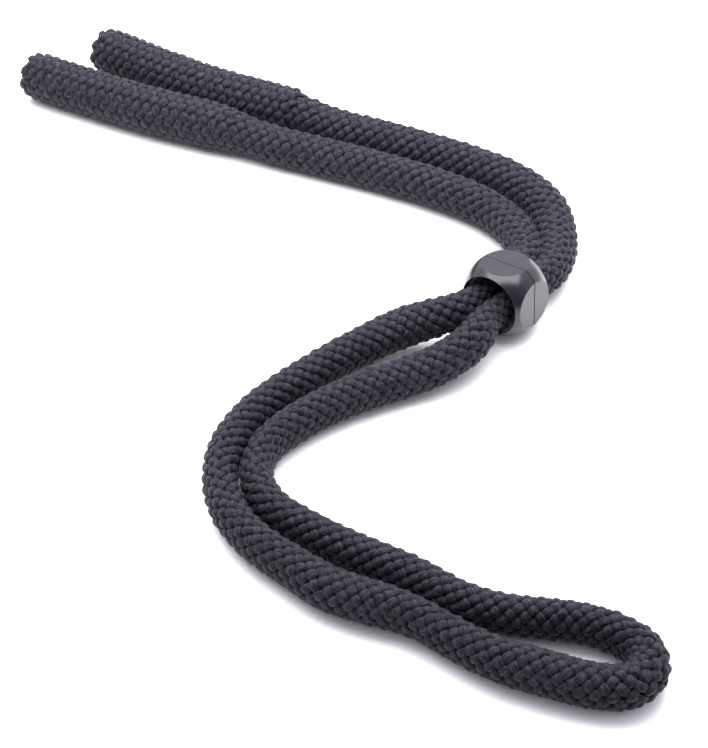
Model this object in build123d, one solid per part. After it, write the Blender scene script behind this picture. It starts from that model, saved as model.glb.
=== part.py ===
from build123d import *
from math import cos, radians, sin, sqrt, tan
import os

# Eyeglass retainer strap, lying doubled in an S on a table. Millimetres, +Z up.
# The origin is on the table, under the middle of the strap's outline.
# One tubular braided cord makes both temple sleeves, both legs and the loop.
# A two-part bead holds the two strands and slides along them.

# ---- driving dimensions ----
CORD_WIDTH = 6.2            # a strand lying against its neighbour is an upright oval
CORD_HEIGHT = 7.8
GRIP_WIDTH = 4.5            # the same strand where the bead squeezes it
GRIP_HEIGHT = 6.6
GRIP_SPACING = 4.7          # between the two strands' centre lines inside the bead
CORD_Z = CORD_HEIGHT / 2

SLEEVE_DIAMETER = 9.2       # a double layer of braid: the cord's end is turned in
LINING_DIAMETER = 6.6
TEMPLE_BORE_DIAMETER = 4.6
LINING_LENGTH = 42.0
SLEEVE_LENGTH = 46.0
LIP_RADIUS = 1.1            # round of the turned-in lip, outside and inside
LINING_LIP_RADIUS = 0.8
SLEEVE_Z = SLEEVE_DIAMETER / 2
LEG_FIRST_RUN = 8.0         # a leg leaves its sleeve in line with it
JOINT_RUN = 2.5             # two stretches of cord meet in the middle of a straight run
ARC_SHARE = 0.45            # of the shorter run beside a corner, used up by its arc
BEAD_STRAIGHT = 6.7         # half the strands' straight length through the bead

BEAD_RADIUS = 7.8
BEAD_BORE_RADIUS = 5.7
BEAD_FLAT_DISTANCE = 6.4    # from the bore's axis to each of the four flats
BEAD_CENTRE = (37.2, 5.0, 7.15)
BEAD_HEADING = 231.0        # degrees about +Z: where the front mouth points
BEAD_TILT = 7.0             # degrees: the front mouth points a little up
BEAD_ROLL = 8.3             # degrees: the flats are turned about the bore's axis
RIM_CHAMFER = 0.22
SEAM_CHAMFER = 0.12
FLAT_COUNT = 4
FULL_TURN = 360

PEG_RADIUS = 0.5            # snap pegs that hold the two half shells together
PEG_LENGTH = 1.6
PEG_CIRCLE_RADIUS = 6.72
PEG_CLEARANCE = 0.03

LINER_THICKNESS = 0.4       # soft grip ring inside each half shell
LINER_LENGTH = 4.3
TOOTH_HEIGHT = 0.4
TOOTH_BASE_RADIUS = 0.3
TOOTH_TIP_RADIUS = 0.06
TOOTH_ROOT = 0.15           # how far a tooth's base is sunk into its ring
TEETH_AROUND = 14
TOOTH_ROWS = 3

# ---- routes of the cord, points chosen by hand ----
# Each leg runs from the closed end of its temple sleeve to just behind the bead.
NEAR_SLEEVE_MOUTH = (-57.4, 72.8)
NEAR_SLEEVE_HEADING = -23.4
FAR_SLEEVE_MOUTH = (-42.6, 80.2)
FAR_SLEEVE_HEADING = -27.3

NEAR_LEG = [
    (3.2, 47.3, CORD_Z),
    (14.2, 43.0, CORD_Z),
    (25.1, 38.2, CORD_Z),
    (35.1, 32.2, CORD_Z),
    (40.8, 24.8, CORD_Z),
]
FAR_LEG = [
    (16.5, 51.6, CORD_Z),
    (27.8, 46.7, CORD_Z),
    (38.8, 40.7, CORD_Z),
    (46.6, 32.8, CORD_Z),
    (48.6, 23.4, CORD_Z),
]
NEAR_BEHIND_BEAD = (42.5, 16.0, 5.0)
FAR_BEHIND_BEAD = (48.4, 13.8, 4.8)
NEAR_BEFORE_BEAD = (26.3, -1.0, 6.8)
FAR_BEFORE_BEAD = (31.0, -7.6, 6.9)
# The loop runs from the near strand's front end, round the left bend, along the
# lower run, round the loop's end and back to the far strand's front end.
LOOP = [
    (19.8, -2.5, 5.2),
    (13.8, -4.9, 4.2),
    (7.3, -8.4, CORD_Z),
    (1.3, -12.7, CORD_Z),
    (-4.4, -17.5, CORD_Z),
    (-9.4, -23.5, CORD_Z),
    (-12.2, -30.5, CORD_Z),
    (-12.8, -37.8, CORD_Z),
    (-10.6, -45.0, CORD_Z),
    (-6.2, -51.0, CORD_Z),
    (-0.4, -56.0, CORD_Z),
    (5.8, -60.2, CORD_Z),
    (12.8, -62.6, CORD_Z),
    (19.3, -66.0, CORD_Z),
    (25.8, -70.3, CORD_Z),
    (32.3, -74.0, CORD_Z),
    (39.3, -77.2, CORD_Z),
    (46.0, -79.9, CORD_Z),
    (52.2, -80.6, CORD_Z),
    (55.8, -77.2, CORD_Z),
    (56.0, -72.0, CORD_Z),
    (52.8, -68.6, CORD_Z),
    (47.2, -67.6, CORD_Z),
    (40.8, -66.9, CORD_Z),
    (33.8, -66.0, CORD_Z),
    (27.0, -63.2, CORD_Z),
    (20.8, -58.6, CORD_Z),
    (14.2, -55.3, CORD_Z),
    (7.4, -51.8, CORD_Z),
    (1.4, -47.8, CORD_Z),
    (-4.0, -43.4, CORD_Z),
    (-6.5, -36.6, CORD_Z),
    (-4.8, -29.4, CORD_Z),
    (0.4, -24.0, CORD_Z),
    (6.6, -19.6, CORD_Z),
    (12.8, -16.2, CORD_Z),
    (18.4, -14.0, 4.1),
    (24.4, -12.2, 5.0),
]

# ---- the bead's own frame: +Z along the bore towards the front mouth ----
heading = radians(BEAD_HEADING)
tilt = radians(BEAD_TILT)
BEAD_AXIS = Vector(cos(heading) * cos(tilt), sin(heading) * cos(tilt), sin(tilt))
BEAD_SIDE = Vector(-sin(heading), cos(heading), 0)
bead_frame = Plane(origin=BEAD_CENTRE, x_dir=BEAD_SIDE, z_dir=BEAD_AXIS)
MOUTH_DISTANCE = sqrt(BEAD_RADIUS**2 - BEAD_BORE_RADIUS**2)


def beyond(previous, last, distance):
    """The point further on along the run that ends at last."""
    run = Vector(*last) - Vector(*previous)
    point = Vector(*last) + run.normalized() * distance
    return (point.X, point.Y, point.Z)


def from_bead(along, across):
    """A point given by its distance along the bore's axis and to the axis's side."""
    point = Vector(*BEAD_CENTRE) + BEAD_AXIS * along + BEAD_SIDE * across
    return (point.X, point.Y, point.Z)


def round_bar(radius, length):
    """A cylinder that stands on its own frame's base."""
    return Cylinder(radius, length, align=(Align.CENTER, Align.CENTER, Align.MIN))


# ---- cord ----


def corner_radii(points):
    """The largest arc at each corner that leaves its runs a straight middle."""
    radii = []
    for before, corner, after in zip(points, points[1:], points[2:]):
        run_in = Vector(*corner) - Vector(*before)
        run_out = Vector(*after) - Vector(*corner)
        half_turn = radians(run_in.get_angle(run_out) / 2)
        radii.append(ARC_SHARE * min(run_in.length, run_out.length) / tan(half_turn))
    return radii


def cord_tube(name, points, width, height):
    """An oval tube that follows straight runs joined by tangent arcs."""
    radii = corner_radii(points)
    path = FilletPolyline(*points, radius=radii)
    start = path @ 0
    direction = path % 0
    level = Vector(0, 0, 1).cross(direction)
    section_plane = Plane(origin=start, x_dir=level, z_dir=direction)
    section = section_plane * Ellipse(width / 2, height / 2)
    tube = sweep(section, path=path)
    expected = section.area * path.length
    print(f"{name}: length {path.length:.1f} mm, volume {tube.volume:.0f} of {expected:.0f} mm3")
    print("   radii", [round(radius, 1) for radius in radii])
    return tube


def sleeve_frame(mouth, sleeve_heading):
    """Local +Z runs from the sleeve's open mouth along its bore."""
    angle = radians(sleeve_heading)
    along = Vector(cos(angle), sin(angle), 0)
    return Plane(origin=(mouth[0], mouth[1], SLEEVE_Z), x_dir=(0, 0, 1), z_dir=along)


def temple_sleeve(frame):
    """Outer layer of a temple sleeve: open at the mouth, closed at the cord's end."""
    outside = round_bar(SLEEVE_DIAMETER / 2, SLEEVE_LENGTH)
    pocket = round_bar(LINING_DIAMETER / 2, LINING_LENGTH)
    mouth_edge = outside.edges().filter_by(GeomType.CIRCLE).sort_by(Axis.Z)[0]
    return frame * (fillet(mouth_edge, LIP_RADIUS) - pocket)


def sleeve_lining(frame):
    """Inner layer: the braid turned in at the lip, with the bore for the temple."""
    outside = round_bar(LINING_DIAMETER / 2, LINING_LENGTH)
    bore = round_bar(TEMPLE_BORE_DIAMETER / 2, LINING_LENGTH)
    tube = outside - bore
    inner_edges = tube.edges().filter_by(GeomType.CIRCLE).sort_by(SortBy.RADIUS)[:2]
    mouth_edge = inner_edges.sort_by(Axis.Z)[0]
    return frame * fillet(mouth_edge, LINING_LIP_RADIUS)


def along_sleeve(mouth, sleeve_heading, distance):
    """A point in line with a sleeve, at the cord's own height."""
    angle = radians(sleeve_heading)
    return (mouth[0] + distance * cos(angle), mouth[1] + distance * sin(angle), CORD_Z)


def leg_route(mouth, sleeve_heading, leg):
    """From the closed end of the sleeve, first in line with it, then along the leg."""
    first = along_sleeve(mouth, sleeve_heading, SLEEVE_LENGTH)
    second = along_sleeve(mouth, sleeve_heading, SLEEVE_LENGTH + LEG_FIRST_RUN)
    return [first, second] + leg


def strand_in_bead(leg, behind, across, before, loop_run):
    """A squeezed strand: from the leg's end, straight through the bead, to the loop."""
    return [
        leg[-1],
        beyond(leg[-2], leg[-1], JOINT_RUN),
        behind,
        from_bead(-BEAD_STRAIGHT, across),
        from_bead(BEAD_STRAIGHT, across),
        before,
        beyond(loop_run[1], loop_run[0], JOINT_RUN),
        loop_run[0],
    ]


def build_cord():
    """The continuous cord, as the stretches that differ in section."""
    near_frame = sleeve_frame(NEAR_SLEEVE_MOUTH, NEAR_SLEEVE_HEADING)
    far_frame = sleeve_frame(FAR_SLEEVE_MOUTH, FAR_SLEEVE_HEADING)
    near_leg = leg_route(NEAR_SLEEVE_MOUTH, NEAR_SLEEVE_HEADING, NEAR_LEG)
    far_leg = leg_route(FAR_SLEEVE_MOUTH, FAR_SLEEVE_HEADING, FAR_LEG)
    across = GRIP_SPACING / 2
    near_grip = strand_in_bead(NEAR_LEG, NEAR_BEHIND_BEAD, -across, NEAR_BEFORE_BEAD, LOOP[:2])
    far_grip = strand_in_bead(FAR_LEG, FAR_BEHIND_BEAD, across, FAR_BEFORE_BEAD, LOOP[:-3:-1])
    return {
        "temple_sleeve_near": temple_sleeve(near_frame),
        "temple_sleeve_far": temple_sleeve(far_frame),
        "sleeve_lining_near": sleeve_lining(near_frame),
        "sleeve_lining_far": sleeve_lining(far_frame),
        "cord_leg_near": cord_tube("near leg", near_leg, CORD_WIDTH, CORD_HEIGHT),
        "cord_leg_far": cord_tube("far leg", far_leg, CORD_WIDTH, CORD_HEIGHT),
        "cord_in_bead_near": cord_tube("near strand in bead", near_grip, GRIP_WIDTH, GRIP_HEIGHT),
        "cord_in_bead_far": cord_tube("far strand in bead", far_grip, GRIP_WIDTH, GRIP_HEIGHT),
        "cord_loop": cord_tube("loop", LOOP, CORD_WIDTH, CORD_HEIGHT),
    }


# ---- bead ----


def bead_blank():
    """A ball with four flats round the bore, in the bead's own frame."""
    ball = Sphere(BEAD_RADIUS)
    flat_block = Box(
        2 * BEAD_FLAT_DISTANCE,
        2 * BEAD_FLAT_DISTANCE,
        2 * BEAD_RADIUS,
    )
    faceted = ball & flat_block.rotate(Axis.Z, BEAD_ROLL)
    bore = Cylinder(BEAD_BORE_RADIUS, 3 * BEAD_RADIUS)
    blank = faceted - bore
    rims = blank.edges().filter_by(GeomType.CIRCLE)
    mouth_rims = [rim for rim in rims if abs(abs(rim.center().Z) - MOUTH_DISTANCE) < 0.01]
    return chamfer(mouth_rims, RIM_CHAMFER)


def peg_places():
    """Four places in the thick corners of the wall, between the flats."""
    places = []
    for corner in range(FLAT_COUNT):
        turn = BEAD_ROLL + FULL_TURN / FLAT_COUNT * (corner + 0.5)
        places.append(Rot(0, 0, turn) * Pos(PEG_CIRCLE_RADIUS, 0, 0))
    return places


def half_shell(blank, front):
    """One half of the bead, cut at the seam, with the seam's outer edge eased."""
    half_space = Box(
        4 * BEAD_RADIUS,
        4 * BEAD_RADIUS,
        2 * BEAD_RADIUS,
        align=(Align.CENTER, Align.CENTER, Align.MIN if front else Align.MAX),
    )
    half = blank & half_space
    seam_face = half.faces().filter_by(Plane.XY).sort_by(Axis.Z)[0 if front else -1]
    return chamfer(seam_face.outer_wire().edges(), SEAM_CHAMFER)


def bead_front_shell(blank):
    """Front half shell, with the four sockets for the snap pegs."""
    shell = half_shell(blank, front=True)
    socket = round_bar(PEG_RADIUS + PEG_CLEARANCE, PEG_LENGTH + 2 * PEG_CLEARANCE)
    for place in peg_places():
        shell -= place * socket
    return shell


def bead_rear_shell(blank):
    """Rear half shell, with the four snap pegs that enter the front one."""
    shell = half_shell(blank, front=False)
    peg = Cylinder(PEG_RADIUS, 2 * PEG_LENGTH)
    for place in peg_places():
        shell += place * peg
    return shell


def grip_liner(front):
    """Soft ring inside one half shell, with rows of teeth that bite the braid."""
    inside = BEAD_BORE_RADIUS - LINER_THICKNESS
    direction = 1 if front else -1
    wall = Cylinder(BEAD_BORE_RADIUS, LINER_LENGTH) - Cylinder(inside, LINER_LENGTH)
    ring = Pos(0, 0, direction * LINER_LENGTH / 2) * wall
    tooth = Cone(
        TOOTH_BASE_RADIUS,
        TOOTH_TIP_RADIUS,
        TOOTH_HEIGHT + TOOTH_ROOT,
        align=(Align.CENTER, Align.CENTER, Align.MIN),
    )
    row_pitch = LINER_LENGTH / TOOTH_ROWS
    for row in range(TOOTH_ROWS):
        height = direction * row_pitch * (row + 0.5)
        for place in range(TEETH_AROUND):
            turn = FULL_TURN / TEETH_AROUND * (place + 0.5 * (row % 2))
            on_wall = Pos(0, 0, height) * Rot(0, 0, turn) * Pos(inside + TOOTH_ROOT, 0, 0)
            ring += on_wall * Rot(0, -90, 0) * tooth
    return ring


def build_bead():
    """The bead's two half shells and their grip rings, placed on the cord."""
    blank = bead_blank()
    return {
        "bead_front_shell": bead_frame * bead_front_shell(blank),
        "bead_rear_shell": bead_frame * bead_rear_shell(blank),
        "front_grip_ring": bead_frame * grip_liner(front=True),
        "rear_grip_ring": bead_frame * grip_liner(front=False),
    }


def main():
    os.makedirs("parts", exist_ok=True)
    nodes = build_cord() | build_bead()
    for name, shape in nodes.items():
        export_step(shape, f"parts/{name}.step")


main()
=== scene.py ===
"""Eyeglass retainer strap: how it looks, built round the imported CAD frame.

The cord is one tubular braid of sixteen yarns, turned in at its two open ends.
It is built in three stretches: each temple leg runs from the bead's middle to its
open sleeve, and the loop runs from the bead's middle round and back to it.
"""

from math import cos, pi, radians, sin

import bpy
import numpy as np
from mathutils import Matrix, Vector


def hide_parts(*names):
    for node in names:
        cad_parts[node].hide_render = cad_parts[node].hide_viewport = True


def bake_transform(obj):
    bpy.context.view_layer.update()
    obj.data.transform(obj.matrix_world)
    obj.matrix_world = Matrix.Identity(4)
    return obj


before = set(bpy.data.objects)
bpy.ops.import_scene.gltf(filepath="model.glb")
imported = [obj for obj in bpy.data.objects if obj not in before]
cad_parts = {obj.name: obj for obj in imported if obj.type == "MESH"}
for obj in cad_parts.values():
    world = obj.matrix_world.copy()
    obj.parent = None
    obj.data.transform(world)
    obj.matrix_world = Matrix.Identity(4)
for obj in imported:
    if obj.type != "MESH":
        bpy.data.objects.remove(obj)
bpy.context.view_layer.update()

MM = 0.001
UP = np.array([0.0, 0.0, 1.0])

# ---- the slider bead's place, as in the CAD ----
BEAD_CENTRE = np.array([0.0372, 0.0050, 0.00715])
BEAD_HEADING = radians(231.0)
BEAD_TILT = radians(7.0)
BEAD_AXIS = np.array(
    [
        cos(BEAD_HEADING) * cos(BEAD_TILT),
        sin(BEAD_HEADING) * cos(BEAD_TILT),
        sin(BEAD_TILT),
    ]
)
BEAD_SIDE = np.array([-sin(BEAD_HEADING), cos(BEAD_HEADING), 0.0])
BEAD_STRAIGHT = 0.0067  # half the strands' straight length through the bead
GRIP_SPACING = 0.0047  # between the two strands' centre lines inside the bead
SEAM_HALF_WIDTH = 0.00015  # of the groove where the bead's two halves meet

# ---- routes of the cord: the CAD's points in metres, moved a little ----
CORD_Z = 0.0040  # high enough for the yarns to stay above the floor
SLEEVE_Z = 0.0050
SLEEVE_LENGTH = 0.046
LEG_FIRST_RUN = 0.008
NEAR_SLEEVE_MOUTH = (-0.0566, 0.0722)
NEAR_SLEEVE_HEADING = radians(-23.4)
NEAR_SLEEVE_BOW = 0.0014  # how far the route's middle point is off the sleeve's axis
FAR_SLEEVE_MOUTH = (-0.0427, 0.0807)
FAR_SLEEVE_HEADING = radians(-27.3)
FAR_SLEEVE_BOW = 0.0024

NEAR_LEG = [
    (0.0032, 0.0470, CORD_Z),
    (0.0142, 0.0428, CORD_Z),
    (0.0251, 0.0380, CORD_Z),
    (0.0351, 0.0321, CORD_Z),
    (0.0408, 0.0250, CORD_Z),
]
FAR_LEG = [
    (0.0165, 0.0518, CORD_Z),
    (0.0278, 0.0469, CORD_Z),
    (0.0391, 0.0412, CORD_Z),
    (0.0469, 0.0331, CORD_Z),
    (0.0484, 0.0236, CORD_Z),
]
NEAR_BEHIND_BEAD = (0.0428, 0.0162, 0.0050)
FAR_BEHIND_BEAD = (0.0473, 0.0146, 0.0048)
NEAR_MOUTH_SHIFT = 0.0006  # sideways, of each strand in the bead's front mouth
FAR_MOUTH_SHIFT = 0.0013
MOUTH_DROP = 0.0006
NEAR_BEFORE_BEAD = (0.0261, -0.0004, 0.0068)
FAR_BEFORE_BEAD = (0.0310, -0.0073, 0.0066)
LOOP = [
    (0.0196, -0.0012, 0.0052),
    (0.0135, -0.0040, 0.0042),
    (0.0072, -0.0081, CORD_Z),
    (0.0015, -0.0129, CORD_Z),
    (-0.0042, -0.0177, CORD_Z),
    (-0.0093, -0.0236, CORD_Z),
    (-0.0125, -0.0305, CORD_Z),
    (-0.0131, -0.0378, CORD_Z),
    (-0.0108, -0.0450, CORD_Z),
    (-0.0062, -0.0510, CORD_Z),
    (-0.0004, -0.0556, CORD_Z),
    (0.0057, -0.0605, CORD_Z),
    (0.0127, -0.0631, CORD_Z),
    (0.0193, -0.0655, CORD_Z),
    (0.0256, -0.0703, CORD_Z),
    (0.0321, -0.0743, CORD_Z),
    (0.0394, -0.0768, CORD_Z),
    (0.0460, -0.0792, CORD_Z),
    (0.0520, -0.0798, CORD_Z),
    (0.0557, -0.0771, CORD_Z),
    (0.0557, -0.0727, CORD_Z),
    (0.0520, -0.0696, CORD_Z),
    (0.0469, -0.0672, CORD_Z),
    (0.0406, -0.0663, CORD_Z),
    (0.0337, -0.0655, CORD_Z),
    (0.0270, -0.0632, CORD_Z),
    (0.0208, -0.0586, CORD_Z),
    (0.0143, -0.0550, CORD_Z),
    (0.0075, -0.0515, CORD_Z),
    (0.0015, -0.0476, CORD_Z),
    (-0.0040, -0.0434, CORD_Z),
    (-0.0072, -0.0366, CORD_Z),
    (-0.0054, -0.0291, CORD_Z),
    (0.0002, -0.0236, CORD_Z),
    (0.0065, -0.0191, CORD_Z),
    (0.0128, -0.0158, CORD_Z),
    (0.0184, -0.0136, 0.0041),
    (0.0244, -0.0114, 0.0050),
]
CURVE_STEPS = 16  # drawn between two neighbouring points of a route

# ---- outer width and height of the cord, by distance from the bead's middle ----
# A strand is squeezed by the bead and by the strand that it lies against.
LEG_SECTION = [
    (0.000, 0.0048, 0.0070),
    (0.006, 0.0052, 0.0072),
    (0.010, 0.0066, 0.0076),
    (0.020, 0.0077, 0.0078),
    (0.036, 0.0082, 0.0078),
]
LOOP_SECTION = [
    (0.000, 0.0044, 0.0064),
    (0.005, 0.0047, 0.0066),
    (0.009, 0.0064, 0.0074),
    (0.018, 0.0080, 0.0078),
    (0.030, 0.0067, 0.0077),
    (0.045, 0.0064, 0.0078),
    (0.070, 0.0064, 0.0078),
    (0.090, 0.0068, 0.0078),
    (0.099, 0.0077, 0.0078),
    (0.107, 0.0077, 0.0078),
    (0.115, 0.0064, 0.0078),
    (0.124, 0.0066, 0.0078),
    (0.134, 0.0076, 0.0078),
    (0.142, 0.0076, 0.0078),
    (0.155, 0.0072, 0.0078),
    (0.168, 0.0063, 0.0078),
    (0.182, 0.0064, 0.0078),
    (0.200, 0.0066, 0.0078),
    (0.225, 0.0062, 0.0078),
    (0.234, 0.0060, 0.0078),
    (0.245, 0.0063, 0.0078),
    (0.264, 0.0072, 0.0077),
    (0.276, 0.0074, 0.0078),
    (0.286, 0.0072, 0.0077),
    (0.292, 0.0047, 0.0066),
    (0.297, 0.0044, 0.0064),
]
SECTION_SPREAD = 0.002  # length over which a change of section is evened out
SECTION_SAMPLES = 9
SLEEVE_DIAMETER = 0.0098
NEAR_SLEEVE_STEP = 0.010  # length over which the doubled braid ends: soft on one leg
FAR_SLEEVE_STEP = 0.0025  # and a plain step on the other

# ---- braid ----
CARRIERS = 8  # yarns laid each way round, so sixteen in all
YARN_THICKNESS = 0.00108
WEAVE_HEIGHT = 0.00046  # how far a yarn rises over and dips under the braid's middle
SKIN = YARN_THICKNESS / 2 + WEAVE_HEIGHT  # braid's middle to its outermost point
YARN_FILL = 0.96  # a yarn's width over the room it has beside its neighbour
CORD_PITCH = 0.0023  # along the cord, from one bump to the next of the same lay
SLEEVE_PITCH = 0.0020
INNER_PITCH = 0.0017
INNER_BULK = 0.6  # the turned-in layer is flatter than the outer one
STEPS_PER_CROSSING = 5
YARN_SIDES = 8
CORE_DEPTH = 0.00045
CORE_SIDES = 32
CORE_STEP = 3  # the core has a ring at every third station
STATION = 0.0002  # along the line, between two places where a skin is worked out
AIM_REACH = 0.0006  # a line's direction is taken over this length each way
ANGLE_JITTER = 0.035
LIFT_JITTER = 0.00006
SIZE_JITTER = 0.07
PINCH = 0.16  # a yarn is wider where it is on top and narrower underneath
YARN_OFFSET = 7.3  # so that neighbouring yarns don't repeat each other's filaments

# ---- open sleeve end ----
TEMPLE_BORE_DIAMETER = 0.0046
TURNED_IN = 0.012  # how deep the braid shows inside a sleeve
NOSE_LENGTH = 0.0026  # a sleeve narrows a little just before its mouth
NOSE_DEPTH = 0.0009
NOSE_REACH = 0.8  # of a quarter round
LIP_STEPS = 12  # round the lip, from the outside of the sleeve to its inside

# ---- seeds of the yarns' small irregularities ----
NEAR_LEG_SEED = 10
FAR_LEG_SEED = 20
LOOP_SEED = 30

# ---- stage ----
FLOOR_REACH = 3.0
CAMERA_PITCH = radians(46.0)  # how far down it looks
CAMERA_DISTANCE = 0.376
CAMERA_TARGET = (0.0098, -0.0085)
CAMERA_LENS = 101.07
SENSOR_WIDTH = 36.0
SOFT_BOX_PLACE = (0.0, 0.085, 0.17)
SOFT_BOX_TARGET = (0.0, 0.085, 0.0)
SOFT_BOX_SIZE = 0.28
SOFT_BOX_POWER = 1.6
ROOM_BRIGHT_SIDE = (0.1, 0.99, 0.0)
ROOM_DIM = 0.32
ROOM_BRIGHT = 1.9


# ---- lines ----


def from_bead(along, across, lift=0.0):
    """A point given by its distance along the bore's axis, to its side and above it."""
    return tuple(BEAD_CENTRE + BEAD_AXIS * along + BEAD_SIDE * across + UP * lift)


def smooth_line(points):
    """The NURBS line that has a route's points as its control points."""
    curve = bpy.data.curves.new("route", "CURVE")
    curve.dimensions = "3D"
    curve.resolution_u = CURVE_STEPS
    spline = curve.splines.new("NURBS")
    spline.points.add(len(points) - 1)
    for control, place in zip(spline.points, points):
        control.co = (*place, 1.0)
    spline.order_u = 3
    spline.use_endpoint_u = True
    holder = bpy.data.objects.new("route", curve)
    mesh = bpy.data.meshes.new_from_object(holder)
    line = np.array([vertex.co for vertex in mesh.vertices])
    bpy.data.meshes.remove(mesh)
    bpy.data.objects.remove(holder)
    bpy.data.curves.remove(curve)
    return line


def distances(line):
    """How far along the line each of its points is."""
    steps = np.linalg.norm(np.diff(line, axis=0), axis=1)
    return np.concatenate([[0.0], np.cumsum(steps)])


def points_at(line, places):
    """The points at the given distances along the line."""
    along = distances(line)
    return np.stack([np.interp(places, along, line[:, axis]) for axis in range(3)], axis=1)


def directions_at(line, places):
    """The line's directions at the given distances along it."""
    return unit(points_at(line, places + AIM_REACH) - points_at(line, places - AIM_REACH))


def unit(vectors):
    """The vectors with a length of 1."""
    return vectors / np.linalg.norm(vectors, axis=-1, keepdims=True)


def eased(places, section, column):
    """A width or height at each place, with smooth turns between the given ones."""
    known = np.array(section)
    offsets = np.linspace(-SECTION_SPREAD, SECTION_SPREAD, SECTION_SAMPLES)
    values = [np.interp(places + offset, known[:, 0], known[:, column]) for offset in offsets]
    return np.mean(values, axis=0)


def leg_route(behind, leg, mouth, heading, across, bow):
    """From the bead's middle along a leg to the open end of its slightly bowed sleeve."""
    ahead = np.array([cos(heading), sin(heading)])
    open_end = np.array(mouth)
    middle = open_end + ahead * SLEEVE_LENGTH / 2 + np.array([ahead[1], -ahead[0]]) * bow
    sleeve_end = open_end + ahead * SLEEVE_LENGTH
    after_sleeve = open_end + ahead * (SLEEVE_LENGTH + LEG_FIRST_RUN)
    return [
        from_bead(0.0, across),
        from_bead(-BEAD_STRAIGHT, across),
        behind,
        *leg[::-1],
        (*after_sleeve, CORD_Z),
        (*sleeve_end, SLEEVE_Z),
        (*middle, SLEEVE_Z),
        (*open_end, SLEEVE_Z),
    ]


# ---- the surface that the yarns lie on ----
# A skin is rows of numbers, one for each station on the surface that is the braid's
# middle: its place along the line, its radius each way, which way its outside faces
# (outward from the line, forward along it), its bump pitch and its bulk.


def tube_skin(line, section):
    """The skin of a plain stretch of cord."""
    length = distances(line)[-1]
    place = np.arange(0.0, length, STATION)
    return {
        "place": place,
        "width": eased(place, section, 1) / 2 - SKIN,
        "height": eased(place, section, 2) / 2 - SKIN,
        "outward": np.ones_like(place),
        "forward": np.zeros_like(place),
        "pitch": np.full_like(place, CORD_PITCH),
        "bulk": np.ones_like(place),
    }


def sleeve_share(place, length, step):
    """How much of the way from plain leg to sleeve each place is, from 0 to 1."""
    share = np.clip((place - length + SLEEVE_LENGTH) / step + 0.5, 0.0, 1.0)
    return share * share * (3 - 2 * share)


def leg_skin(line, step):
    """The skin of a leg and its sleeve, over the lip and some way into the bore."""
    length = distances(line)[-1]
    sleeve_radius = SLEEVE_DIAMETER / 2 - SKIN
    inner_radius = TEMPLE_BORE_DIAMETER / 2 + SKIN * INNER_BULK
    nose = NOSE_DEPTH * (1 - np.sqrt(1 - NOSE_REACH**2))
    lip = (sleeve_radius - nose - inner_radius) / 2
    lip_place = length - SKIN - lip

    place = np.arange(0.0, lip_place, STATION)
    share = sleeve_share(place, length, step)
    along_nose = np.clip((place - lip_place) / NOSE_LENGTH + 1, 0.0, 1.0) * NOSE_REACH
    narrowing = NOSE_DEPTH * (1 - np.sqrt(1 - along_nose**2))
    width = (eased(place, LEG_SECTION, 1) / 2 - SKIN) * (1 - share) + sleeve_radius * share
    height = (eased(place, LEG_SECTION, 2) / 2 - SKIN) * (1 - share) + sleeve_radius * share

    turn = np.linspace(0.0, pi, LIP_STEPS)[1:-1]
    lip_radius = inner_radius + lip + lip * np.cos(turn)
    inside = np.arange(lip_place, lip_place - TURNED_IN, -STATION)
    inside_radius = np.full_like(inside, inner_radius)
    inner_share = (1 - np.cos(turn)) / 2
    return {
        "place": np.concatenate([place, lip_place + lip * np.sin(turn), inside]),
        "width": np.concatenate([width - narrowing, lip_radius, inside_radius]),
        "height": np.concatenate([height - narrowing, lip_radius, inside_radius]),
        "outward": np.concatenate([np.ones_like(place), np.cos(turn), -np.ones_like(inside)]),
        "forward": np.concatenate([np.zeros_like(place), np.sin(turn), np.zeros_like(inside)]),
        "pitch": np.concatenate(
            [
                CORD_PITCH + (SLEEVE_PITCH - CORD_PITCH) * share,
                SLEEVE_PITCH + (INNER_PITCH - SLEEVE_PITCH) * inner_share,
                np.full_like(inside, INNER_PITCH),
            ]
        ),
        "bulk": np.concatenate(
            [
                np.ones_like(place),
                1 + (INNER_BULK - 1) * inner_share,
                np.full_like(inside, INNER_BULK),
            ]
        ),
    }


def travel_over(skin):
    """How far over the surface each station is from the first one."""
    radius = (skin["width"] + skin["height"]) / 2
    return np.concatenate([[0.0], np.cumsum(np.hypot(np.diff(skin["place"]), np.diff(radius)))])


def braid_phase(skin, travel):
    """The angle a yarn has gone round by each station: a carrier's share a bump."""
    rate = 2 * pi / CARRIERS / skin["pitch"]
    return np.concatenate([[0.0], np.cumsum(np.diff(travel) * (rate[1:] + rate[:-1]) / 2)])


def spaced_by_phase(skin):
    """The skin with its stations a fixed part of a crossing apart, ready for yarns."""
    travel = travel_over(skin)
    phase = braid_phase(skin, travel)
    even = np.arange(0.0, phase[-1], pi / CARRIERS / STEPS_PER_CROSSING)
    rows = {name: np.interp(even, phase, row) for name, row in skin.items()}
    lean = np.hypot(rows["outward"], rows["forward"])
    rows["outward"] = rows["outward"] / lean
    rows["forward"] = rows["forward"] / lean
    rows["travel"] = np.interp(even, phase, travel)
    rows["phase"] = even
    neighbour = pi * (rows["width"] + rows["height"]) / CARRIERS
    rows["room"] = neighbour / np.sqrt(1 + (neighbour / rows["pitch"]) ** 2)
    return rows


def add_frames(rows, line):
    """Adds each station's centre, level side, up and direction."""
    direction = directions_at(line, rows["place"])
    rows["centre"] = points_at(line, rows["place"])
    rows["direction"] = direction
    rows["level"] = unit(np.cross(UP, direction))
    rows["upright"] = np.cross(direction, rows["level"])


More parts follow.
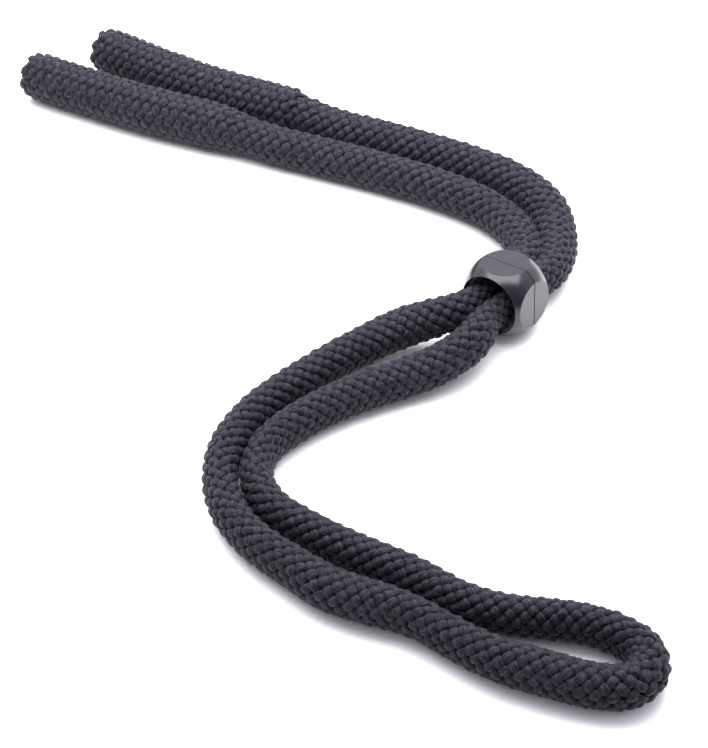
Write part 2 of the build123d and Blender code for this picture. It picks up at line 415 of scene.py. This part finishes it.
def on_skin(rows, angle):
    """Point and outward normal on the braid's middle surface at an angle round it."""
    round_cos = np.cos(angle)[:, None]
    round_sin = np.sin(angle)[:, None]
    width = rows["width"][:, None]
    height = rows["height"][:, None]
    across = rows["level"] * round_cos
    upward = rows["upright"] * round_sin
    radial = unit(across / width + upward / height)
    normal = radial * rows["outward"][:, None] + rows["direction"] * rows["forward"][:, None]
    return rows["centre"] + across * width + upward * height, normal


def soft_noise(rng, count, spacing):
    """A smooth random row, from -1 to 1, that changes over about spacing steps."""
    knots = rng.uniform(-1.0, 1.0, count // spacing + 3)
    x = np.arange(count) / spacing
    left = x.astype(int)
    blend = x - left
    blend = blend * blend * (3 - 2 * blend)
    return knots[left] * (1 - blend) + knots[left + 1] * blend


# ---- meshes ----


def mesh_of_tubes(name, tubes, travels):
    """One object from tubes, each an array of rings of points, all the same size.

    Its UV map runs round each tube and, in millimetres of travel, along it.
    """
    count = len(tubes)
    rings, sides = tubes[0].shape[:2]
    vertices = np.concatenate([tube.reshape(-1, 3) for tube in tubes])
    ring = np.arange(rings - 1)[:, None] * sides
    side = np.arange(sides)[None, :]
    after = (side + 1) % sides
    onward = ring + sides
    quads = np.stack([ring + side, ring + after, onward + after, onward + side], axis=-1)
    quads = quads.reshape(-1, 4)
    faces = np.concatenate([quads + number * rings * sides for number in range(count)])

    mesh = bpy.data.meshes.new(name)
    mesh.vertices.add(len(vertices))
    mesh.vertices.foreach_set("co", vertices.astype(np.float32).ravel())
    mesh.loops.add(faces.size)
    mesh.loops.foreach_set("vertex_index", faces.astype(np.int32).ravel())
    mesh.polygons.add(len(faces))
    mesh.polygons.foreach_set("loop_start", np.arange(0, faces.size, 4, dtype=np.int32))
    mesh.update(calc_edges=True)
    mesh.validate()
    mesh.polygons.foreach_set("use_smooth", np.ones(len(faces), bool))

    here = side + 0 * ring
    around = np.stack([here, here + 1, here + 1, here], axis=-1)
    start = ring + 0 * side
    along = np.stack([start, start, start + sides, start + sides], axis=-1)
    around = np.tile(around.reshape(-1) / sides, count)
    along = (along.reshape(-1) // sides).astype(int)
    travel = np.concatenate([row[along] for row in travels])
    layer = mesh.uv_layers.new(name="yarn")
    layer.data.foreach_set("uv", np.stack([around, travel], axis=1).astype(np.float32).ravel())

    made = bpy.data.objects.new(name, mesh)
    bpy.context.scene.collection.objects.link(made)
    return made


def yarn_tube(rows, number, turn, rng):
    """One yarn: rings of points along its path over and under the others."""
    count = len(rows["phase"])
    beat = 2 * STEPS_PER_CROSSING
    angle = turn * rows["phase"] + 2 * pi * number / CARRIERS
    angle = angle + ANGLE_JITTER * soft_noise(rng, count, 2 * beat)
    point, normal = on_skin(rows, angle)
    over = turn * np.cos(CARRIERS * rows["phase"])
    lift = WEAVE_HEIGHT * over + LIFT_JITTER * soft_noise(rng, count, beat)
    point = point + normal * (lift * rows["bulk"])[:, None]
    heading = unit(np.gradient(point, axis=0))
    sideways = unit(np.cross(normal, heading))
    upward = np.cross(heading, sideways)
    plump = 1 + PINCH * over + SIZE_JITTER * soft_noise(rng, count, beat)
    half_width = rows["room"] * YARN_FILL / 2 * plump
    unevenness = 1 + SIZE_JITTER * soft_noise(rng, count, beat)
    half_thickness = YARN_THICKNESS / 2 * rows["bulk"] * unevenness
    corner = 2 * pi * (np.arange(YARN_SIDES) + 0.5) / YARN_SIDES
    ring_across = (half_width[:, None] * np.cos(corner))[:, :, None]
    ring_up = (half_thickness[:, None] * np.sin(corner))[:, :, None]
    return point[:, None, :] + sideways[:, None, :] * ring_across + upward[:, None, :] * ring_up


def core_tube(name, rows):
    """The inside of the tubular braid, just under its yarns, which its material paints dark as shade.
    """
    last = len(rows["phase"]) - 1
    keep = np.unique(np.append(np.arange(0, last, CORE_STEP), last))
    kept = {key: row[keep] for key, row in rows.items()}
    rings = []
    for place in range(CORE_SIDES):
        point, normal = on_skin(kept, np.full(len(keep), 2 * pi * place / CORE_SIDES))
        rings.append(point - normal * (CORE_DEPTH * kept["bulk"])[:, None])
    return mesh_of_tubes(name, [np.stack(rings, axis=1)], [kept["travel"] / MM])


def braid(name, line, skin, seed):
    """Both sets of yarns of one stretch, and the core that they lie on, painted dark as shade."""
    rows = spaced_by_phase(skin)
    add_frames(rows, line)
    pieces = []
    for turn, lay in ((1, "left_laid"), (-1, "right_laid")):
        rng = np.random.default_rng(seed + turn)
        tubes = [yarn_tube(rows, number, turn, rng) for number in range(CARRIERS)]
        starts = [rows["travel"] / MM + YARN_OFFSET * number for number in range(CARRIERS)]
        pieces.append(mesh_of_tubes(f"{name}_{lay}_yarns", tubes, starts))
    return pieces, core_tube(f"{name}_core", rows)


# ---- materials ----

GRAIN_DEPTH = 0.00005


def shader(name, colour, roughness):
    """A new material, and its principled shader."""
    material = bpy.data.materials.new(name)
    material.use_nodes = True
    surface = material.node_tree.nodes["Principled BSDF"]
    surface.inputs["Base Color"].default_value = (*colour, 1.0)
    surface.inputs["Roughness"].default_value = roughness
    return material, surface


def braid_material():
    """Textured polyester yarn: fine filaments along each yarn, a little fuzz."""
    material, surface = shader("braid_yarn", (0.016, 0.0155, 0.019), 0.55)
    nodes = material.node_tree.nodes
    links = material.node_tree.links
    surface.inputs["Specular IOR Level"].default_value = 0.14
    surface.inputs["Sheen Weight"].default_value = 0.06
    surface.inputs["Sheen Roughness"].default_value = 0.45
    surface.inputs["Sheen Tint"].default_value = (0.80, 0.80, 0.90, 1.0)

    place = nodes.new("ShaderNodeUVMap")
    place.uv_map = "yarn"
    stretch = nodes.new("ShaderNodeMapping")
    stretch.inputs["Scale"].default_value = (11.0, 1.6, 1.0)
    stretch.inputs["Rotation"].default_value = (0.0, 0.0, radians(4.0))
    links.new(place.outputs["UV"], stretch.inputs["Vector"])
    filaments = nodes.new("ShaderNodeTexNoise")
    filaments.inputs["Scale"].default_value = 1.0
    filaments.inputs["Detail"].default_value = 4.0
    filaments.inputs["Roughness"].default_value = 0.75
    links.new(stretch.outputs["Vector"], filaments.inputs["Vector"])

    tone = nodes.new("ShaderNodeValToRGB")
    tone.color_ramp.elements[0].position = 0.40
    tone.color_ramp.elements[0].color = (0.0006, 0.0005, 0.0012, 1.0)
    tone.color_ramp.elements[1].position = 0.66
    tone.color_ramp.elements[1].color = (0.031, 0.0276, 0.0435, 1.0)
    links.new(filaments.outputs["Fac"], tone.inputs["Fac"])
    links.new(tone.outputs["Color"], surface.inputs["Base Color"])

    bump = nodes.new("ShaderNodeBump")
    bump.inputs["Strength"].default_value = 1.0
    bump.inputs["Distance"].default_value = 0.00028
    links.new(filaments.outputs["Fac"], bump.inputs["Height"])
    links.new(bump.outputs["Normal"], surface.inputs["Normal"])
    return material


def shade_core_material():
    """The inside of the braid between its yarns, painted dark as shade."""
    material, surface = shader("braid_core_painted_shade", (0.006, 0.006, 0.007), 0.9)
    surface.inputs["Specular IOR Level"].default_value = 0.1
    return material


def moulded_grain(material, surface, scale, detail, strength):
    """A fine bump all over a moulded part. Returns the place that its noise is read at."""
    nodes = material.node_tree.nodes
    links = material.node_tree.links
    place = nodes.new("ShaderNodeTexCoord").outputs["Object"]
    grain = nodes.new("ShaderNodeTexNoise")
    grain.inputs["Scale"].default_value = scale
    grain.inputs["Detail"].default_value = detail
    links.new(place, grain.inputs["Vector"])
    bump = nodes.new("ShaderNodeBump")
    bump.inputs["Strength"].default_value = strength
    bump.inputs["Distance"].default_value = GRAIN_DEPTH
    links.new(grain.outputs["Fac"], bump.inputs["Height"])
    links.new(bump.outputs["Normal"], surface.inputs["Normal"])
    return place


def bead_material():
    """Satin moulded plastic with a fine grain and soft scuffs, and a rough seam groove painted dark
    as shade.
    """
    material, surface = shader("bead_plastic", (0.004, 0.004, 0.008), 0.24)
    nodes = material.node_tree.nodes
    links = material.node_tree.links
    surface.inputs["Specular IOR Level"].default_value = 0.5
    place = moulded_grain(material, surface, scale=2600.0, detail=3.0, strength=0.12)
    wear = nodes.new("ShaderNodeTexNoise")
    wear.inputs["Scale"].default_value = 380.0
    wear.inputs["Detail"].default_value = 5.0
    links.new(place, wear.inputs["Vector"])
    gloss = nodes.new("ShaderNodeMapRange")
    gloss.inputs["From Min"].default_value = 0.35
    gloss.inputs["From Max"].default_value = 0.7
    gloss.inputs["To Min"].default_value = 0.20
    gloss.inputs["To Max"].default_value = 0.28
    links.new(wear.outputs["Fac"], gloss.inputs["Value"])

    seam = seam_mask(nodes, links, place)
    # the seam groove is made rough
    seam_roughness = nodes.new("ShaderNodeMix")
    seam_roughness.inputs["B"].default_value = 0.9
    links.new(seam, seam_roughness.inputs["Factor"])
    links.new(gloss.outputs["Result"], seam_roughness.inputs["A"])
    links.new(seam_roughness.outputs["Result"], surface.inputs["Roughness"])
    # painted shade: the seam groove's colour is darkened as if in shade
    seam_shade = nodes.new("ShaderNodeValToRGB")
    seam_shade.color_ramp.elements[0].color = (0.004, 0.0042, 0.0085, 1.0)
    seam_shade.color_ramp.elements[1].color = (0.0004, 0.0004, 0.0006, 1.0)
    links.new(seam, seam_shade.inputs["Fac"])
    links.new(seam_shade.outputs["Color"], surface.inputs["Base Color"])
    return material


def seam_mask(nodes, links, place):
    """1 in the groove where the two half shells meet, 0 away from it: where shade is painted."""
    across = nodes.new("ShaderNodeVectorMath")
    across.operation = "DOT_PRODUCT"
    across.inputs[1].default_value = tuple(BEAD_AXIS)
    links.new(place, across.inputs[0])
    from_seam = nodes.new("ShaderNodeMath")
    from_seam.operation = "SUBTRACT"
    from_seam.inputs[1].default_value = float(BEAD_CENTRE @ BEAD_AXIS)
    links.new(across.outputs["Value"], from_seam.inputs[0])
    distance = nodes.new("ShaderNodeMath")
    distance.operation = "ABSOLUTE"
    links.new(from_seam.outputs["Value"], distance.inputs[0])
    groove = nodes.new("ShaderNodeMapRange")
    groove.inputs["From Min"].default_value = SEAM_HALF_WIDTH
    groove.inputs["From Max"].default_value = SEAM_HALF_WIDTH / 2
    links.new(distance.outputs["Value"], groove.inputs["Value"])
    return groove.outputs["Result"]


def rubber_material():
    """Soft black grip ring."""
    material, surface = shader("grip_rubber", (0.010, 0.010, 0.013), 0.28)
    surface.inputs["Specular IOR Level"].default_value = 0.9
    moulded_grain(material, surface, scale=1800.0, detail=2.0, strength=0.1)
    return material


def floor_material():
    """Plain matt white."""
    material, surface = shader("floor", (0.95, 0.95, 0.955), 0.8)
    surface.inputs["Specular IOR Level"].default_value = 0.1
    return material


# ---- cord pieces ----


def leg_cord(name, route, step, seed, node_names):
    """A temple leg with its sleeve."""
    line = smooth_line(route)
    yarns, core = braid(name, line, leg_skin(line, step), seed)
    finish_cord(core, yarns, node_names)
    for piece in (core, *yarns):
        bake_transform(piece)


def loop_cord(name, route, seed, node_names):
    """The loop, from the bead round and back to it."""
    line = smooth_line(route)
    yarns, core = braid(name, line, tube_skin(line, LOOP_SECTION), seed)
    finish_cord(core, yarns, node_names)
    for piece in (core, *yarns):
        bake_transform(piece)


def finish_cord(core, yarns, node_names):
    """Materials, and hides the CAD nodes that the cord stands for.
    """
    core.data.materials.append(CORE)
    for piece in yarns:
        piece.data.materials.append(YARN)
    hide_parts(*node_names)


YARN = braid_material()
# the braid's inside, painted dark as shade between the yarns
CORE = shade_core_material()

half = GRIP_SPACING / 2
near_route = leg_route(
    NEAR_BEHIND_BEAD, NEAR_LEG, NEAR_SLEEVE_MOUTH, NEAR_SLEEVE_HEADING, -half, NEAR_SLEEVE_BOW
)
far_route = leg_route(
    FAR_BEHIND_BEAD, FAR_LEG, FAR_SLEEVE_MOUTH, FAR_SLEEVE_HEADING, half, FAR_SLEEVE_BOW
)
loop_route = [
    from_bead(0.0, -half),
    from_bead(BEAD_STRAIGHT, -half - NEAR_MOUTH_SHIFT, -MOUTH_DROP),
    NEAR_BEFORE_BEAD,
    *LOOP,
    FAR_BEFORE_BEAD,
    from_bead(BEAD_STRAIGHT, half - FAR_MOUTH_SHIFT, -MOUTH_DROP),
    from_bead(0.0, half),
]
leg_cord(
    "near_leg",
    near_route,
    NEAR_SLEEVE_STEP,
    NEAR_LEG_SEED,
    ["temple_sleeve_near", "sleeve_lining_near", "cord_leg_near", "cord_in_bead_near"],
)
leg_cord(
    "far_leg",
    far_route,
    FAR_SLEEVE_STEP,
    FAR_LEG_SEED,
    ["temple_sleeve_far", "sleeve_lining_far", "cord_leg_far", "cord_in_bead_far"],
)
loop_cord("loop", loop_route, LOOP_SEED, ["cord_loop"])


# ---- bead ----


def dress(node_name, material):
    """Gives a CAD node its material."""
    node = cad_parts[node_name]
    for place in node.material_slots:
        place.material = material
    if not node.material_slots:
        node.data.materials.append(material)


plastic = bead_material()
rubber = rubber_material()
for shell in ("bead_front_shell", "bead_rear_shell"):
    dress(shell, plastic)
for ring in ("front_grip_ring", "rear_grip_ring"):
    dress(ring, rubber)


# ---- stage ----


def floor():
    """A plain pale floor under the strap."""
    reach = FLOOR_REACH
    mesh = bpy.data.meshes.new("floor")
    corners = [(-reach, -reach, 0.0), (reach, -reach, 0.0), (reach, reach, 0.0), (-reach, reach, 0.0)]
    mesh.from_pydata(corners, [], [(0, 1, 2, 3)])
    plane = bpy.data.objects.new("floor", mesh)
    mesh.materials.append(floor_material())
    bpy.context.scene.collection.objects.link(plane)


def soft_light(name, place, target, size, power):
    """A square soft box that points at the target."""
    lamp = bpy.data.lights.new(name, "AREA")
    lamp.shape = "SQUARE"
    lamp.size = size
    lamp.energy = power
    holder = bpy.data.objects.new(name, lamp)
    holder.location = place
    holder.rotation_euler = (Vector(target) - Vector(place)).to_track_quat("-Z", "Y").to_euler()
    holder.visible_camera = False
    bpy.context.scene.collection.objects.link(holder)


def world_light():
    """A pale room that is bright behind and beside the strap and dim in front of it."""
    world = bpy.data.worlds.new("studio")
    world.use_nodes = True
    nodes = world.node_tree.nodes
    links = world.node_tree.links
    place = nodes.new("ShaderNodeTexCoord")
    away = nodes.new("ShaderNodeVectorMath")
    away.operation = "DOT_PRODUCT"
    away.inputs[1].default_value = ROOM_BRIGHT_SIDE
    links.new(place.outputs["Generated"], away.inputs[0])
    depth = nodes.new("ShaderNodeMapRange")
    depth.interpolation_type = "SMOOTHSTEP"
    depth.inputs["From Min"].default_value = -0.8
    depth.inputs["From Max"].default_value = 0.4
    depth.inputs["To Min"].default_value = ROOM_DIM
    depth.inputs["To Max"].default_value = ROOM_BRIGHT
    links.new(away.outputs["Value"], depth.inputs["Value"])
    background = nodes["Background"]
    background.inputs["Color"].default_value = (0.90, 0.91, 1.0, 1.0)
    links.new(depth.outputs["Result"], background.inputs["Strength"])
    bpy.context.scene.world = world


def camera():
    """Looks along +Y and 46 degrees down, from in front of the loop's end."""
    lens = bpy.data.cameras.new("camera")
    lens.sensor_width = SENSOR_WIDTH
    lens.lens = CAMERA_LENS
    lens.clip_start = 0.01
    holder = bpy.data.objects.new("camera", lens)
    across, along = CAMERA_TARGET
    back = CAMERA_DISTANCE * cos(CAMERA_PITCH)
    holder.location = (across, along - back, CAMERA_DISTANCE * sin(CAMERA_PITCH))
    holder.rotation_euler = (radians(90.0) - CAMERA_PITCH, 0.0, 0.0)
    bpy.context.scene.collection.objects.link(holder)
    bpy.context.scene.camera = holder


floor()
world_light()
soft_light("top_soft_box", SOFT_BOX_PLACE, SOFT_BOX_TARGET, SOFT_BOX_SIZE, SOFT_BOX_POWER)
bpy.context.scene.view_settings.view_transform = "Standard"
camera()
